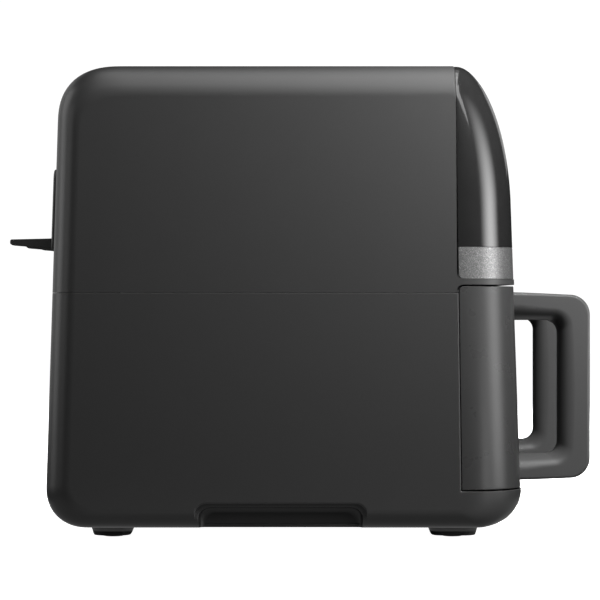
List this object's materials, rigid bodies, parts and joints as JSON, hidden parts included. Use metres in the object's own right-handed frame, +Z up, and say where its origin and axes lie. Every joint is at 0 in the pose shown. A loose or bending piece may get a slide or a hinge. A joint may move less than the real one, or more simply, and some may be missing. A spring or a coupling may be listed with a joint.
{
  "type": "air fryer",
  "caption": "Countertop air fryer with side-by-side pull-out drawers, loop handles, a wrap-around touch panel above a flake band, and an exhaust vent with a spacer bracket at the rear.",
  "frame": {"origin": "on the resting surface under the centre of the overall box, handles and rear spacer included", "axes": "+Z up, the drawers' front faces -Y, +X to the right seen from the front"},
  "size_m": [0.39, 0.425, 0.33],
  "materials": {
    "housing_black": "matte, fine moulded texture",
    "gloss_black": "high gloss",
    "band_silver": "metallic flake, gloss",
    "drawer_black": "matte, fine moulded texture",
    "handle_black": "satin",
    "structure_black": "matte",
    "foot_black": "matte",
    "pad_rubber": "matte",
    "board_green": "solder mask",
    "display_black": "gloss",
    "liner_steel": "aluminised sheet, dull",
    "zinc_steel": "zinc plated, satin",
    "heater_steel": "oxidised tube",
    "wire_chrome": "polished wire",
    "motor_steel": "varnished laminations",
    "shaft_steel": "ground",
    "fan_aluminium": "stamped",
    "fan_nylon": "satin",
    "brass": "sintered",
    "screw_steel": "zinc plated",
    "pan_nonstick": "non-stick coating, satin",
    "plate_nonstick": "non-stick coating, satin",
    "silicone_red": "silicone, matte",
    "wire_insulation": "silicone sleeve"
  },
  "bodies": {
    "housing": {"upper_housing": "housing_black", "lower_housing": "housing_black", "base_plate": "structure_black", "control_panel": "gloss_black", "accent_band": "band_silver", "front_frame": "structure_black", "control_board": "board_green", "display_module": "display_black", "power_board": "board_green", "rear_vent": "structure_black", "rear_spacer": "structure_black", "cord_inlet": "structure_black", "foot_front_left": "foot_black", "foot_front_right": "foot_black", "foot_rear_left": "foot_black", "foot_rear_right": "foot_black", "foot_pads": "pad_rubber", "base_screws": "screw_steel", "motor_bearings": "brass", "temperature_sensors": "shaft_steel", "guide_rails": "zinc_steel", "wiring": "wire_insulation", "cavity_liner_left": "liner_steel", "cavity_liner_right": "liner_steel", "reflector_left": "zinc_steel", "reflector_right": "zinc_steel", "heater_left": "heater_steel", "heater_right": "heater_steel", "heater_guard_left": "wire_chrome", "heater_guard_right": "wire_chrome", "motor_mount_left": "zinc_steel", "motor_mount_right": "zinc_steel", "motor_stator_left": "motor_steel", "motor_stator_right": "motor_steel", "exhaust_duct_left": "zinc_steel", "exhaust_duct_right": "zinc_steel"},
    "drawer_left": {"drawer_front_left": "drawer_black", "drawer_back_left": "structure_black", "handle_left": "handle_black", "handle_screws_left": "screw_steel", "pan_left": "pan_nonstick", "pan_bracket_left": "structure_black", "pan_screws_left": "screw_steel"},
    "plate_left": {"crisper_plate_left": "plate_nonstick", "plate_bumpers_left": "silicone_red"},
    "rotor_left": {"motor_shaft_left": "shaft_steel", "hot_fan_left": "fan_aluminium", "cooling_fan_left": "fan_nylon"},
    "drawer_right": {"drawer_front_right": "drawer_black", "drawer_back_right": "structure_black", "handle_right": "handle_black", "handle_screws_right": "screw_steel", "pan_right": "pan_nonstick", "pan_bracket_right": "structure_black", "pan_screws_right": "screw_steel"},
    "plate_right": {"crisper_plate_right": "plate_nonstick", "plate_bumpers_right": "silicone_red"},
    "rotor_right": {"motor_shaft_right": "shaft_steel", "hot_fan_right": "fan_aluminium", "cooling_fan_right": "fan_nylon"}
  },
  "joints": [
    {"name": "drawer_left_slide", "type": "slide", "parent": "housing", "child": "drawer_left", "axis": [0, -1, 0], "range_m": [0, 0.29]},
    {"name": "plate_left_lift", "type": "slide", "parent": "drawer_left", "child": "plate_left", "axis": [0, 0, 1], "range_m": [0, 0.112]},
    {"name": "fan_left_spin", "type": "hinge", "parent": "housing", "child": "rotor_left", "pos_m": [-0.096, 0.008, 0.2], "axis": [0, 0, 1], "continuous": true},
    {"name": "drawer_right_slide", "type": "slide", "parent": "housing", "child": "drawer_right", "axis": [0, -1, 0], "range_m": [0, 0.29]},
    {"name": "plate_right_lift", "type": "slide", "parent": "drawer_right", "child": "plate_right", "axis": [0, 0, 1], "range_m": [0, 0.112]},
    {"name": "fan_right_spin", "type": "hinge", "parent": "housing", "child": "rotor_right", "pos_m": [0.096, 0.008, 0.2], "axis": [0, 0, 1], "continuous": true}
  ]
}
